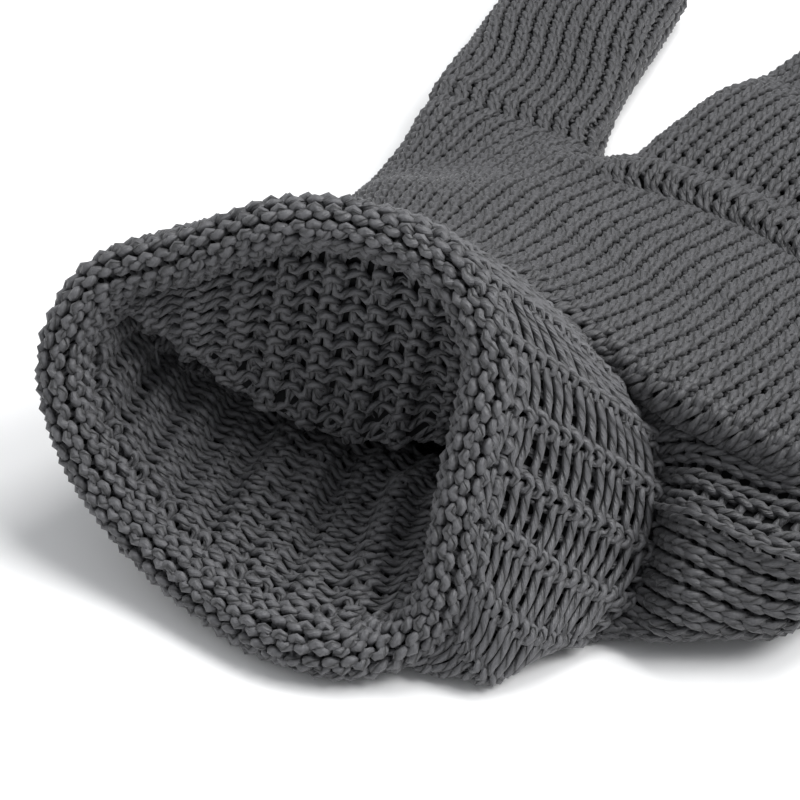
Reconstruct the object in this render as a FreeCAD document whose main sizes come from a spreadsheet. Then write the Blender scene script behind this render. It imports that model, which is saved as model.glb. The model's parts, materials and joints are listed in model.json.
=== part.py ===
# Heavy knitted cut-resistant glove, lying palm up with its cuff turned back.
# Millimetres. +Y runs from the wrist to the fingertips, +Z is up, the thumb is on -X.
# The shell is one seamless knit in life. It is divided here at its flex lines.
import FreeCAD, Part
import Sketcher
import math
import os

V = FreeCAD.Vector
doc = FreeCAD.newDocument("knitted_glove")

# ---------------------------------------------------------------- driving sizes
sheet = doc.addObject("Spreadsheet::Sheet", "Sizes")
TABLE = [
    ("frameX", 31.32), ("frameY", 54.45),         # shift that puts the origin under the middle of the glove
    ("wall", 2.4),                                # thickness of the single knit
    ("jointGap", 0.5),                            # gap left at each flex line
    ("palmLeft", -44.0), ("palmWidth", 86.0), ("palmThick", 15.5),
    ("thumbCrotchY", 58.0), ("crotchY", 100.0),
    ("fingerGap", 1.2), ("fingerPitch", 21.5), ("fingerThick", 12.0),
    ("wristWidth", 84.0), ("wristThick", 36.0), ("wristShift", 0.0),
    ("heelBack", 9.0), ("heelWidth", 104.0), ("heelThick", 33.0), ("heelShift", 8.0),
    ("lowerLeftA", -66.0), ("lowerRightA", 45.0), ("lowerThickA", 30.0), ("lowerPosA", 0.0),
    ("lowerLeftB", -79.0), ("lowerRightB", 44.0), ("lowerThickB", 23.0), ("lowerPosB", 30.0),
    ("lowerLeftC", -87.0), ("lowerRightC", 42.0), ("lowerThickC", 17.0),
    ("thumbYaw", 17.0), ("thumbLeft", -68.0), ("thumbWidth", 35.5), ("thumbThick", 12.5),
    ("thumbRootPos", 46.0), ("thumbHingePos", 82.0), ("thumbTipHingePos", 117.0), ("thumbEnd", 150.0),
    ("tipRound", 5.0),
    ("indexHinge", 113.0), ("indexMidHinge", 139.0), ("indexEndHinge", 159.0), ("indexEnd", 176.0),
    ("middleHinge", 114.0), ("middleMidHinge", 142.0), ("middleEndHinge", 164.0), ("middleEnd", 183.0),
    ("ringHinge", 113.0), ("ringMidHinge", 139.0), ("ringEndHinge", 159.0), ("ringEnd", 177.0),
    ("littleHinge", 110.0), ("littleMidHinge", 130.0), ("littleEndHinge", 147.0), ("littleEnd", 162.0),
    # turned-back cuff: mouth ellipse and free-edge ellipse of the band's outer face
    ("mouthX", -29.5), ("mouthY", -57.5), ("mouthZ", 28.6), ("mouthYaw", 14.0), ("mouthTilt", 30.0),
    ("mouthMajor", 35.5), ("mouthMinor", 32.4),
    ("edgeX", -19.0), ("edgeY", -12.9), ("edgeZ", 22.8), ("edgeYaw", -16.0), ("edgeTilt", 20.0),
    ("edgeMajor", 40.0), ("edgeMinor", 23.6),
    ("throatRise", -2.0), ("throatMajor", 31.5), ("throatMinor", 13.5),
    ("foldDepth", 3.4), ("foldThick", 7.0), ("elasticSize", 0.9),
]


class Dim:
    """A number together with the sheet expression that drives it."""

    def __init__(self, v, e):
        self.v, self.e = float(v), e

    @staticmethod
    def of(o):
        return o if isinstance(o, Dim) else Dim(o, "(%s)" % repr(float(o)))

    def __add__(self, o):
        o = Dim.of(o)
        return Dim(self.v + o.v, "(%s + %s)" % (self.e, o.e))

    def __sub__(self, o):
        o = Dim.of(o)
        return Dim(self.v - o.v, "(%s - %s)" % (self.e, o.e))

    def __mul__(self, k):
        return Dim(self.v * k, "(%s * %s)" % (self.e, repr(float(k))))

    def __truediv__(self, k):
        return Dim(self.v / k, "(%s / %s)" % (self.e, repr(float(k))))

    def __neg__(self):
        return Dim(-self.v, "(0 - %s)" % self.e)


S = {}
for i, (name, value) in enumerate(TABLE):
    sheet.set("A%d" % (i + 1), name)
    sheet.set("B%d" % (i + 1), str(value))
    sheet.setAlias("B%d" % (i + 1), name)
    S[name] = Dim(value, "Sizes." + name)
doc.recompute()
wall = S["wall"]
half = S["jointGap"] / 2

NODES = []


def new_body(label, yaw=None):
    b = doc.addObject("PartDesign::Body", label)
    b.Label = label
    rot = FreeCAD.Rotation(V(0, 0, 1), yaw.v) if yaw is not None else FreeCAD.Rotation()
    b.Placement = FreeCAD.Placement(V(S["frameX"].v, -S["frameY"].v, 0), rot)
    b.setExpression("Placement.Base.x", "Sizes.frameX")
    b.setExpression("Placement.Base.y", "0 - Sizes.frameY")
    if yaw is not None:
        b.setExpression("Placement.Rotation.Angle", yaw.e)
    NODES.append(b)
    return b


UPRIGHT = FreeCAD.Rotation(V(1, 0, 0), 90)


def base_plane(body):
    for f in body.Origin.OriginFeatures:
        if f.Role == "XY_Plane":
            return f


def slot(body, name, at, left, low, width, thick, frame=None):
    """Slot-shaped cross-section: flat top and bottom, round sides. `at` is its station along +Y."""
    sk = body.newObject("Sketcher::SketchObject", name)
    sk.AttachmentSupport = [(base_plane(body), "")]
    sk.MapMode = "FlatFace"
    if frame is None:
        sk.AttachmentOffset = FreeCAD.Placement(V(0, at.v, 0), UPRIGHT)
        sk.setExpression("AttachmentOffset.Base.y", at.e)
    else:
        sk.AttachmentOffset = frame
    r = thick / 2
    cz = low + r
    c0 = left + r
    span = width - thick
    y0, x0, rr, x1 = cz.v, c0.v, r.v, c0.v + span.v
    z = V(0, 0, 1)
    sk.addGeometry(Part.ArcOfCircle(Part.Circle(V(x0, y0, 0), z, rr), math.pi / 2, 3 * math.pi / 2), False)
    sk.addGeometry(Part.LineSegment(V(x0, y0 - rr, 0), V(x1, y0 - rr, 0)), False)
    sk.addGeometry(Part.ArcOfCircle(Part.Circle(V(x1, y0, 0), z, rr), -math.pi / 2, math.pi / 2), False)
    sk.addGeometry(Part.LineSegment(V(x1, y0 + rr, 0), V(x0, y0 + rr, 0)), False)
    C = Sketcher.Constraint
    sk.addConstraint(C("Tangent", 0, 2, 1, 1))
    sk.addConstraint(C("Tangent", 1, 2, 2, 1))
    sk.addConstraint(C("Tangent", 2, 2, 3, 1))
    sk.addConstraint(C("Tangent", 3, 2, 0, 1))
    sk.addConstraint(C("Horizontal", 1))
    sk.addConstraint(C("Horizontal", 3))
    for cname, con, d in (
        ("side", C("Radius", 0, rr), r),
        ("span", C("DistanceX", 0, 3, 2, 3, span.v), span),
        ("across", C("DistanceX", -1, 1, 0, 3, x0), c0),
        ("height", C("DistanceY", -1, 1, 0, 3, y0), cz),
    ):
        k = sk.addConstraint(con)
        sk.renameConstraint(k, cname)
        sk.setExpression("Constraints." + cname, d.e)
    return sk


def volume(body):
    doc.recompute()
    return body.Shape.Volume


def tube(label, start, end, left, width, thick, yaw=None, closed=False):
    """A knitted tube: a slot-shaped pad with a slot-shaped pocket. Closed ones have a rounded end."""
    b = new_body(label, yaw)
    zero = Dim(0, "(0.0)")
    sk = slot(b, label + "_outline", start, left, zero, width, thick)
    pad = b.newObject("PartDesign::Pad", label + "_pad")
    pad.Profile = sk
    pad.Length = (end - start).v
    pad.setExpression("Length", (end - start).e)
    pad.Reversed = True
    v0 = volume(b)
    if closed:
        far = [i + 1 for i, e in enumerate(pad.Shape.Edges)
               if all(abs(vx.Point.y - end.v) < 1e-3 for vx in e.Vertexes)]
        fil = b.newObject("PartDesign::Fillet", label + "_round")
        fil.Base = (pad, ["Edge%d" % i for i in far])
        fil.Radius = S["tipRound"].v
        fil.setExpression("Radius", "Sizes.tipRound")
        v0 = volume(b)
    inner = slot(b, label + "_hollow", start, left + wall, zero + wall, width - wall * 2, thick - wall * 2)
    cut = b.newObject("PartDesign::Pocket", label + "_pocket")
    cut.Profile = inner
    if closed:
        depth = end - start - wall
        cut.Length = depth.v
        cut.setExpression("Length", depth.e)
    else:
        cut.Type = 1
    v1 = volume(b)
    if v1 > v0 * 0.8:
        raise RuntimeError("%s is not hollow: %.1f of %.1f" % (label, v1, v0))
    print("%-16s solid %.0f hollow %.0f" % (label, v0, v1))
    return b


# ---------------------------------------------------------------- split plane at the wrist
def tilted(px, py, pz, yaw, tilt):
    """Frame of a tilted plane: x along its level line, y up its slope, z out towards the mouth."""
    a, f = math.radians(yaw), math.radians(tilt)
    t = V(math.cos(a), math.sin(a), 0)
    n = V(math.sin(a) * math.cos(f), -math.cos(a) * math.cos(f), math.sin(f))
    s = n.cross(t)
    return V(px, py, pz), t, s, n


P1, T1, S1, N1 = tilted(S["edgeX"].v, S["edgeY"].v, S["edgeZ"].v, S["edgeYaw"].v, S["edgeTilt"].v)
P0, T0, S0, N0 = tilted(S["mouthX"].v, S["mouthY"].v, S["mouthZ"].v, S["mouthYaw"].v, S["mouthTilt"].v)

# ---------------------------------------------------------------- lower palm with the thumb root
lower = new_body("lower_palm")
zero = Dim(0, "(0.0)")
wrist_rot = FreeCAD.Rotation(T1, S1, N1, "ZXY")


def lower_sections(tag, inset):
    """Five cross-sections of the lower palm, from the wrist's slanted plane to the thumb's crotch."""
    out = []
    for key, back in (("wrist", half.v), ("heel", S["heelBack"].v)):
        # both lie parallel to the wrist's slanted plane, low side just above the table
        base = P1 - N1 * back
        low = Dim.of(0.4 - base.z / S1.z)
        left = S[key + "Shift"] - S[key + "Width"] / 2
        out.append(slot(lower, "%s_%s" % (tag, key), None, left + inset, low + inset,
                        S[key + "Width"] - inset * 2, S[key + "Thick"] - inset * 2,
                        FreeCAD.Placement(base, wrist_rot)))
    for key, at in (("A", S["lowerPosA"]), ("B", S["lowerPosB"]), ("C", S["thumbCrotchY"])):
        L, R, T = S["lowerLeft" + key], S["lowerRight" + key], S["lowerThick" + key]
        out.append(slot(lower, tag + "_" + key, at, L + inset, zero + inset, R - L - inset * 2, T - inset * 2))
    return out


secs = lower_sections("lower_outside", zero)
loft = lower.newObject("PartDesign::AdditiveLoft", "lower_skin")
loft.Profile = secs[0]
loft.Sections = secs[1:]
loft.Ruled = True
va = volume(lower)
yawrot = FreeCAD.Rotation(V(0, 0, 1), S["thumbYaw"].v)


def thumb_frame(at):
    return FreeCAD.Placement(yawrot.multVec(V(0, at, 0)), yawrot.multiply(UPRIGHT))


root_out = slot(lower, "thumb_root_outline", None, S["thumbLeft"], zero, S["thumbWidth"], S["thumbThick"],
                thumb_frame(S["thumbRootPos"].v))
root = lower.newObject("PartDesign::Pad", "thumb_root")
root.Profile = root_out
rootlen = S["thumbHingePos"] - S["thumbRootPos"] - half
root.Length = rootlen.v
root.setExpression("Length", rootlen.e)
root.Reversed = True
vb = volume(lower)
ins = lower_sections("lower_inside", wall)
core = lower.newObject("PartDesign::SubtractiveLoft", "lower_hollow")
core.Profile = ins[0]
core.Sections = ins[1:]
core.Ruled = True
vc = volume(lower)
root_in = slot(lower, "thumb_root_hollow", None, S["thumbLeft"] + wall, zero + wall,
               S["thumbWidth"] - wall * 2, S["thumbThick"] - wall * 2, thumb_frame(S["thumbRootPos"].v + 8))
rcut = lower.newObject("PartDesign::Pocket", "thumb_root_pocket")
rcut.Profile = root_in
rcut.Type = 1
vd = volume(lower)
print("lower_palm volumes", round(va), round(vb), round(vc), round(vd))
if not (vb > va and vc < vb * 0.6 and vd < vc):
    raise RuntimeError("lower palm features did not act")

# ---------------------------------------------------------------- four-finger palm: flat underside
tube("upper_palm", S["thumbCrotchY"], S["crotchY"], S["palmLeft"], S["palmWidth"], S["palmThick"])

# ---------------------------------------------------------------- fingers
for k, finger in enumerate(("index", "middle", "ring", "little")):
    left = S["palmLeft"] + S["fingerPitch"] * k + S["fingerGap"] / 2
    w = S["fingerPitch"] - S["fingerGap"]
    th = S["fingerThick"]
    h1, h2, h3, end = (S[finger + "Hinge"], S[finger + "MidHinge"], S[finger + "EndHinge"], S[finger + "End"])
    tube(finger + "_root", S["crotchY"], h1 - half, left, w, th)
    tube(finger + "_proximal", h1 + half, h2 - half, left, w, th)
    tube(finger + "_medial", h2 + half, h3 - half, left, w, th)
    tube(finger + "_tip", h3 + half, end, left, w, th, closed=True)

# ---------------------------------------------------------------- thumb
tube("thumb_base", S["thumbHingePos"] + half, S["thumbTipHingePos"] - half, S["thumbLeft"], S["thumbWidth"],
     S["thumbThick"], yaw=S["thumbYaw"])
tube("thumb_tip", S["thumbTipHingePos"] + half, S["thumbEnd"], S["thumbLeft"], S["thumbWidth"],
     S["thumbThick"], yaw=S["thumbYaw"], closed=True)


# ---------------------------------------------------------------- turned-back cuff
def oval(name, f, inset, kind="band", off=0.0):
    """An ellipse between the mouth (f = 0) and the free edge (f = 1), set in from the outside face."""
    if kind == "band":
        a1, b1, c1 = S["edgeMajor"].v, S["edgeMinor"].v, P1
    else:
        a1, b1 = S["throatMajor"].v + S["foldThick"].v, S["throatMinor"].v + S["foldThick"].v
        c1 = P1 + S1 * S["throatRise"].v
    c1 = c1 + N1 * half.v
    A = T0 * ((1 - f) * (S["mouthMajor"].v - inset)) + T1 * (f * (a1 - inset))
    B = S0 * ((1 - f) * (S["mouthMinor"].v - inset)) + S1 * (f * (b1 - inset))
    c = P0 * (1 - f) + c1 * f
    # conjugate half-diameters to principal axes
    th = 0.5 * math.atan2(2 * A.dot(B), A.dot(A) - B.dot(B))
    M = A * math.cos(th) + B * math.sin(th)
    m = B * math.cos(th) - A * math.sin(th)
    if M.Length < m.Length:
        M, m = m, M * -1
    n = V(M.x, M.y, M.z).cross(V(m.x, m.y, m.z))
    n.normalize()
    e = doc.addObject("Part::Ellipse", name)
    e.MajorRadius = M.Length
    e.MinorRadius = m.Length
    mx, my = V(M.x, M.y, M.z), V(m.x, m.y, m.z)
    mx.normalize()
    my.normalize()
    shift = V(S["frameX"].v, -S["frameY"].v, 0)
    e.Placement = FreeCAD.Placement(c + n * off + shift, FreeCAD.Rotation(mx, my, n, "ZXY"))
    return e


def shell(label, f0, f1, i0, i1, kind="band"):
    """Hollow sleeve between two stations of the cuff, i0 and i1 being its outer and inner insets."""
    skins = []
    for tag, inset in (("outer", i0), ("inner", i1)):
        lf = doc.addObject("Part::Loft", "%s_%s" % (label, tag))
        # the inner core runs a little past both ends so that it cuts them cleanly
        e = 0.0 if tag == "outer" else 0.02
        lf.Sections = [oval("%s_%s_a" % (label, tag), f0 - e, inset, kind),
                       oval("%s_%s_m" % (label, tag), (f0 + f1) / 2, inset, kind),
                       oval("%s_%s_b" % (label, tag), f1 + e, inset, kind)]
        lf.Solid = True
        lf.Ruled = True
        skins.append(lf)
    cut = doc.addObject("Part::Cut", label)
    cut.Base, cut.Tool = skins
    cut.Label = label
    return cut


ft = S["foldThick"].v
band_len = (P1 - P0).Length
f_fold = S["foldDepth"].v / band_len
f_hem = 1 - 3.0 / band_len
NODES.append(shell("cuff_turnback_band", f_fold, f_hem, 0.5, 0.5 + wall.v))
NODES.append(shell("cuff_overlock_edge", f_hem, 1.0, 0.0, 0.6 + wall.v))
NODES.append(shell("cuff_inner_tube", f_fold + 0.008, 1.0, ft - wall.v, ft, "throat"))

# rolled fold at the mouth: a bead that joins the two layers, thinner at its front
bead = []
for tag, pts in (("outer", ((0.0, 2.4), (0.5 * f_fold, 0.7), (f_fold, 0.0))),
                 ("inner", ((-0.3 * f_fold, ft - 2.0), (0.5 * f_fold, ft - 0.6), (1.15 * f_fold, ft + 0.1)))):
    lf = doc.addObject("Part::Loft", "cuff_fold_" + tag)
    lf.Sections = [oval("cuff_fold_%s_%d" % (tag, j), f, ins_, "band") for j, (f, ins_) in enumerate(pts)]
    lf.Solid = True
    lf.Ruled = True
    bead.append(lf)
fold = doc.addObject("Part::Cut", "cuff_fold_roll")
fold.Base, fold.Tool = bead
fold.Label = "cuff_fold_roll"
NODES.append(fold)

# elastic yarns laid between the two layers, five separate rings
rings = [shell("elastic_%d" % j, f, f + 0.022, 3.3, 3.3 + S["elasticSize"].v)
         for j, f in enumerate((0.14, 0.28, 0.42, 0.56, 0.70))]
yarns = doc.addObject("Part::Compound", "cuff_elastic_yarns")
yarns.Links = rings
yarns.Label = "cuff_elastic_yarns"
NODES.append(yarns)

doc.recompute()

# ---------------------------------------------------------------- checks, then one file per piece
for o in doc.Objects:
    if "Invalid" in o.State or "Error" in o.State:
        raise RuntimeError("%s: %s" % (o.Label, o.State))
lo, hi = V(1e9, 1e9, 1e9), V(-1e9, -1e9, -1e9)
for o in NODES:
    sh = o.Shape
    if sh.isNull() or not sh.isValid() or not sh.Solids:
        raise RuntimeError("%s has no valid solid" % o.Label)
    b = sh.optimalBoundingBox(False) if hasattr(sh, "optimalBoundingBox") else sh.BoundBox
    lo = V(min(lo.x, b.XMin), min(lo.y, b.YMin), min(lo.z, b.ZMin))
    hi = V(max(hi.x, b.XMax), max(hi.y, b.YMax), max(hi.z, b.ZMax))
    print("%-20s solids %d volume %8.0f  x %7.1f %7.1f  y %7.1f %7.1f  z %6.2f %6.1f"
          % (o.Label, len(sh.Solids), sh.Volume, b.XMin, b.XMax, b.YMin, b.YMax, b.ZMin, b.ZMax))
print("whole: x %.2f %.2f  y %.2f %.2f  z %.2f %.2f" % (lo.x, hi.x, lo.y, hi.y, lo.z, hi.z))
os.makedirs("parts", exist_ok=True)
for o in NODES:
    o.Shape.exportStep("parts/%s.step" % o.Label)
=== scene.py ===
"""Heavy knitted glove with a turned-back cuff. Every visible surface is yarn, each stitch a real loop, except for a
near-black sheet behind the loops that paints the shade seen through their holes.
"""
import json
import math

import bpy
import numpy as np
from mathutils import Matrix, Vector


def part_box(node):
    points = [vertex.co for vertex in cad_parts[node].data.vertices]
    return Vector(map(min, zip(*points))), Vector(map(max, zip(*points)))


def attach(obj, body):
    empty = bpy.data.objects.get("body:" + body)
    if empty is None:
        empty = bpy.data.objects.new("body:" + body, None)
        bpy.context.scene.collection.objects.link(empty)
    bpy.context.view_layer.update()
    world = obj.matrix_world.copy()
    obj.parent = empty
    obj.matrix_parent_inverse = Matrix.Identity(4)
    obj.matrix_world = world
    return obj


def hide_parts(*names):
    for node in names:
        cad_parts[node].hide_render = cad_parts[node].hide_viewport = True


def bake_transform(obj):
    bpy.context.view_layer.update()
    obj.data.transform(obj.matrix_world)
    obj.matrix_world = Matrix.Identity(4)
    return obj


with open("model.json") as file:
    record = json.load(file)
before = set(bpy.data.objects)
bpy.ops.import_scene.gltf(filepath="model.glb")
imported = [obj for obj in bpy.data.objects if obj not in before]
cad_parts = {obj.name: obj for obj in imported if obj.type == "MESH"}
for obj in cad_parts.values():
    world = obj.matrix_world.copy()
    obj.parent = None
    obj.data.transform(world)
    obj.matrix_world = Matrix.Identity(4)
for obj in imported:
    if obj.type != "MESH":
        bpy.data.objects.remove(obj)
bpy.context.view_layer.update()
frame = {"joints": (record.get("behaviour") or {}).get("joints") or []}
scene = bpy.context.scene

# Working frame in millimetres: +Y towards the fingers, +Z up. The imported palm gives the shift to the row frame.
_lo, _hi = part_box("upper_palm")
SHIFT = np.array([_lo[0] * 1000 + 44.0, _lo[1] * 1000 - 58.0, 0.0])
RNG = np.random.default_rng(7)


def row(p):
    """Working millimetres to row-frame metres."""
    return tuple((np.asarray(p, float) + SHIFT) / 1000.0)


# ------------------------------------------------------------------ camera
scene_cam = bpy.data.cameras.new("view")
scene_cam.lens = 115.0
scene_cam.sensor_width = 36.0
scene_cam.clip_start = 0.02
scene_cam.clip_end = 10
cam = bpy.data.objects.new("view", scene_cam)
scene.collection.objects.link(cam)
_az, _el = math.radians(38.0), math.radians(36.0)
_back = Vector((math.sin(_az) * math.cos(_el), -math.cos(_az) * math.cos(_el), math.sin(_el)))
cam.location = row((166.78, -275.12, 244.17))
cam.rotation_mode = "QUATERNION"
cam.rotation_quaternion = (-_back).to_track_quat("-Z", "Y")
scene.camera = cam

# ------------------------------------------------------------------ knit sizes (mm)
N_THUMB, N_PALM = 24, 54
N_WALES = N_THUMB + N_PALM
COURSE = 2.86          # plain knit, one course
CUFF_COURSE = 2.15     # mock rib
N_CUFF = 75            # 25 repeats of one knitted and two missed needles
INSET = 1.35           # outside of the knit to the middle of the yarn layer


# ------------------------------------------------------------------ numeric helpers
def densify(P, closed=False, k=8):
    """Catmull-Rom through the points, k steps to a span."""
    P = np.asarray(P, float)
    n = len(P)
    if closed:
        Q = np.concatenate([P[-1:], P, P[:2]])
        spans = n
    else:
        Q = np.concatenate([2 * P[:1] - P[1:2], P, 2 * P[-1:] - P[-2:-1]])
        spans = n - 1
    t = (np.arange(k) / k)[None, :, None]
    a, b, c, d = (Q[i:i + spans, None, :] for i in range(4))
    out = 0.5 * ((2 * b) + (c - a) * t + (2 * a - 5 * b + 4 * c - d) * t ** 2 + (3 * b - a - 3 * c + d) * t ** 3)
    out = out.reshape(-1, P.shape[1])
    return out if closed else np.concatenate([out, P[-1:]])


def even(P, n, closed=False, end=True):
    """n evenly spaced points along a dense line."""
    P = np.asarray(P, float)
    if closed:
        P = np.concatenate([P, P[:1]])
    s = np.concatenate([[0], np.cumsum(np.linalg.norm(np.diff(P, axis=0), axis=1))])
    q = np.linspace(0, s[-1], n, endpoint=(end and not closed))
    return np.stack([np.interp(q, s, P[:, i]) for i in range(P.shape[1])], 1)


def smooth01(x):
    x = np.clip(x, 0, 1)
    return x * x * (3 - 2 * x)


def half_slot(x0, x1, T, z0=0.0, top=True, crown=0.0, crease=0.0, inset=INSET):
    """Half of a tube's section in (x, z), from the middle of its left side to the middle of its right."""
    x0, x1, zb, zt = x0 + inset, x1 - inset, z0 + inset, z0 + T - inset
    r = (zt - zb) / 2
    zc = (zt + zb) / 2
    a = np.linspace(0, math.pi / 2, 9)
    sgn = 1 if top else -1
    left = np.stack([x0 + r - r * np.cos(a), zc + sgn * r * np.sin(a)], 1)
    flat = np.stack([np.linspace(x0 + r, x1 - r, 12)[1:-1], np.full(10, zc + sgn * r)], 1)
    right = np.stack([x1 - r + r * np.sin(a), zc + sgn * r * np.cos(a)], 1)
    if crease > 0:
        h = zt - zb
        if top:
            pr = np.array([(-11, 1.0), (-7, .985), (-4, .93), (-2.3, .86), (-1.6, .79), (-1.5, .72), (-2.0, .66), (-3.2, .61), (-3.6, .575)])
        else:
            pr = np.array([(-13, 0), (-8, .0), (-4, .03), (-1.2, .09), (.3, .18), (.8, .29), (.4, .4), (-1.2, .49), (-3.4, .565)])
        alt = np.stack([x1 + pr[:, 0], zb + h * pr[:, 1]], 1)
        right = right * (1 - crease) + alt * crease
    P = np.concatenate([left, flat, right])
    if crown:
        w = np.clip(1 - ((P[:, 0] - (x0 + x1) / 2) / ((x1 - x0) / 2)) ** 2, 0, 1)
        P[:, 1] += sgn * crown * w if top else 0
    return P


def ring_lobes(lobes, y=0.0, **kw):
    """Closed ring of a tube whose section is one or several lobes side by side. Each lobe: x0, x1, T, wales on top."""
    tops, bots = [], []
    for x0, x1, T, n in lobes:
        tops.append(even(half_slot(x0, x1, T, top=True, **kw), n, end=False))
        b = even(half_slot(x0, x1, T, top=False, **kw)[::-1], n, end=False)
        bots.append(b)
    P = np.concatenate(tops + bots[::-1])
    return np.stack([P[:, 0], np.full(len(P), y), P[:, 1]], 1)


def ring_path(path3, n=N_WALES):
    """Closed ring of n points along control points in space."""
    return even(densify(path3, closed=True), n, closed=True)


def loft(rings, pitch=None, courses=None, per_wale=True, weight=None, tension=()):
    """Rings (M, N, 3) to one ring per course boundary, evenly spaced along each wale."""
    R = np.asarray(rings, float)
    L = np.linalg.norm(np.diff(R, axis=0), axis=2)
    mean = L.mean(1)
    if per_wale:
        # neighbouring wales share their spacing, so that a course stays a smooth line
        for _ in range(6):
            L = 0.5 * L + 0.25 * (np.roll(L, 1, 1) + np.roll(L, -1, 1))
    else:
        L = np.repeat(mean[:, None], R.shape[1], 1)
    L = np.maximum(L, 1e-3)
    S = np.concatenate([np.zeros((1, R.shape[1])), np.cumsum(L, 0)])
    C = courses or max(2, int(round(mean.sum() / pitch)))
    out = np.empty((C + 1, R.shape[1], 3))
    Q = S if weight is None else np.concatenate([np.zeros((1, R.shape[1])), np.cumsum(L * weight, 0)])
    M = np.empty_like(R)
    M[1:-1] = (R[2:] - R[:-2]) / (S[2:] - S[:-2])[..., None]
    M[0] = (R[1] - R[0]) / (S[1] - S[0])[..., None]
    M[-1] = (R[-1] - R[-2]) / (S[-1] - S[-2])[..., None]
    for k in tension:
        M[k] *= tension[k]
    for i in range(R.shape[1]):
        q = np.interp(np.linspace(0, Q[-1, i], C + 1), Q[:, i], S[:, i])
        k = np.clip(np.searchsorted(S[:, i], q, side="right") - 1, 0, len(S) - 2)
        d = (S[k + 1, i] - S[k, i])[:, None]
        t = (q - S[k, i])[:, None] / d
        h00, h10, h01, h11 = 2 * t ** 3 - 3 * t ** 2 + 1, t ** 3 - 2 * t ** 2 + t, -2 * t ** 3 + 3 * t ** 2, t ** 3 - t ** 2
        out[:, i] = h00 * R[k, i] + h10 * d * M[k, i] + h01 * R[k + 1, i] + h11 * d * M[k + 1, i]
    return out


class Sheet:
    """A knitted tube: points for wale u (periodic) and course v, with the visible face along +normal."""

    def __init__(self, G):
        self.G = np.asarray(G, float)
        self.C, self.N = self.G.shape[0] - 1, self.G.shape[1]
        g = self.G
        self.P = np.concatenate([3 * g[:1] - 2 * g[1:2], 2 * g[:1] - g[1:2], g, 2 * g[-1:] - g[-2:-1], 3 * g[-1:] - 2 * g[-2:-1]])

    def at(self, u, v):
        u, v = np.broadcast_arrays(np.asarray(u, float), np.asarray(v, float))
        v = np.clip(v, -0.999, self.C + 0.999)
        i, j = np.floor(u).astype(int), np.floor(v).astype(int)
        fu, fv = u - i, v - j

        def w(f):
            return [0.5 * (-f + 2 * f * f - f ** 3), 0.5 * (2 - 5 * f * f + 3 * f ** 3),
                    0.5 * (f + 4 * f * f - 3 * f ** 3), 0.5 * (-f * f + f ** 3)]
        wu, wv = w(fu), w(fv)
        out = 0
        for b in range(4):
            rowp = np.clip(j + b - 1 + 2, 0, self.P.shape[0] - 1)
            for a in range(4):
                out = out + (wu[a] * wv[b])[..., None] * self.P[rowp, (i + a - 1) % self.N]
        return out

    def frame(self, u, v):
        e = 0.12
        du = self.at(u + e, v) - self.at(u - e, v)
        dv = self.at(u, v + e) - self.at(u, v - e)
        n = np.cross(du, dv)
        n /= np.linalg.norm(n, axis=-1, keepdims=True) + 1e-9
        return self.at(u, v), n


# ------------------------------------------------------------------ yarn
def wander(rng, shape, n_rows, n_cols, t):
    """A value for each stitch, changing smoothly from one stitch to the next along the row."""
    R = rng.normal(0, 1, (n_rows, n_cols + 1))
    R[:, -1] = R[:, 0]
    k = np.floor(t).astype(int) % n_cols
    f = smooth01(t - np.floor(t))
    return R[:, k] * (1 - f) + R[:, (k + 1) % n_cols] * f


def plain_rows(sheet, u0, u1, v0, v1, face=1, H=0.85, D=0.66, alpha=1.12, pts=12, rng=RNG, loose=1.0, pull=0.52):
    """Rows of plain-knit loops over wales u0..u1 and courses v0..v1. face 1 shows the V side, -1 the purl side."""
    nw = int(u1 - u0)
    full = nw >= sheet.N
    n = nw * pts + (0 if full else 1)
    t = np.arange(n) / pts                       # in stitches
    a = t * 2 * math.pi
    rows = np.arange(v0, v1)
    A = np.broadcast_to(a, (len(rows), n))
    ju = wander(rng, None, len(rows), nw, t) * 0.035 * loose
    jv = wander(rng, None, len(rows), nw, t) * 0.045 * loose
    jn = wander(rng, None, len(rows), nw, t) * 0.07 * loose
    u = u0 + t[None] + (alpha * np.sin(2 * A) + pull * np.sin(A)) / (2 * math.pi) + ju
    v = rows[:, None] + 0.5 - H * np.cos(A) + jv
    nn = -face * D * np.cos(2 * A) + jn
    P, Nn = sheet.frame(u, v)
    return P + Nn * nn[..., None], Nn, full


def rib_rows(sheet, v0, v1, H=0.92, D=0.62, alpha=1.15, pts=12, flo=8, corr=0.35, w=1.3, rng=RNG):
    """Mock-rib rows seen from the wrong side: a purl loop, then a float past two missed wales, all round."""
    reps = sheet.N // 3
    per = pts + flo
    rows = np.arange(v0, v1)
    tl = np.arange(pts) / pts
    a = tl * 2 * math.pi
    ul = w * (tl + alpha * np.sin(2 * a) / (2 * math.pi))
    vl = 0.5 - H * np.cos(a)
    nl = D * np.cos(2 * a) + 0.12 * (1 - np.cos(a))
    tf = np.arange(flo) / flo
    uf = w + (3 - w) * tf
    vf = 0.5 - H + 0.16 * np.sin(math.pi * tf)
    nf = D * (1.0 + 0.25 * np.sin(math.pi * tf))
    U = np.concatenate([ul, uf])
    Vv = np.concatenate([vl, vf])
    Nv = np.concatenate([nl, nf]) + corr * np.cos((U - w / 2) * 2 * math.pi / 3)
    n = reps * per
    t = np.arange(n) / per
    u = 3 * np.repeat(np.arange(reps), per) + np.tile(U, reps)
    u = u[None] + wander(rng, None, len(rows), reps, t) * 0.07
    v = rows[:, None] + np.tile(Vv, reps)[None] + wander(rng, None, len(rows), reps, t) * 0.09 + wander(rng, None, len(rows), reps * 2, t * 2) * 0.05
    nn = np.tile(Nv, reps)[None] + wander(rng, None, len(rows), reps * 2, t * 2) * 0.10
    P, Nn = sheet.frame(u, v)
    return P + Nn * nn[..., None], Nn, True


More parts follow.
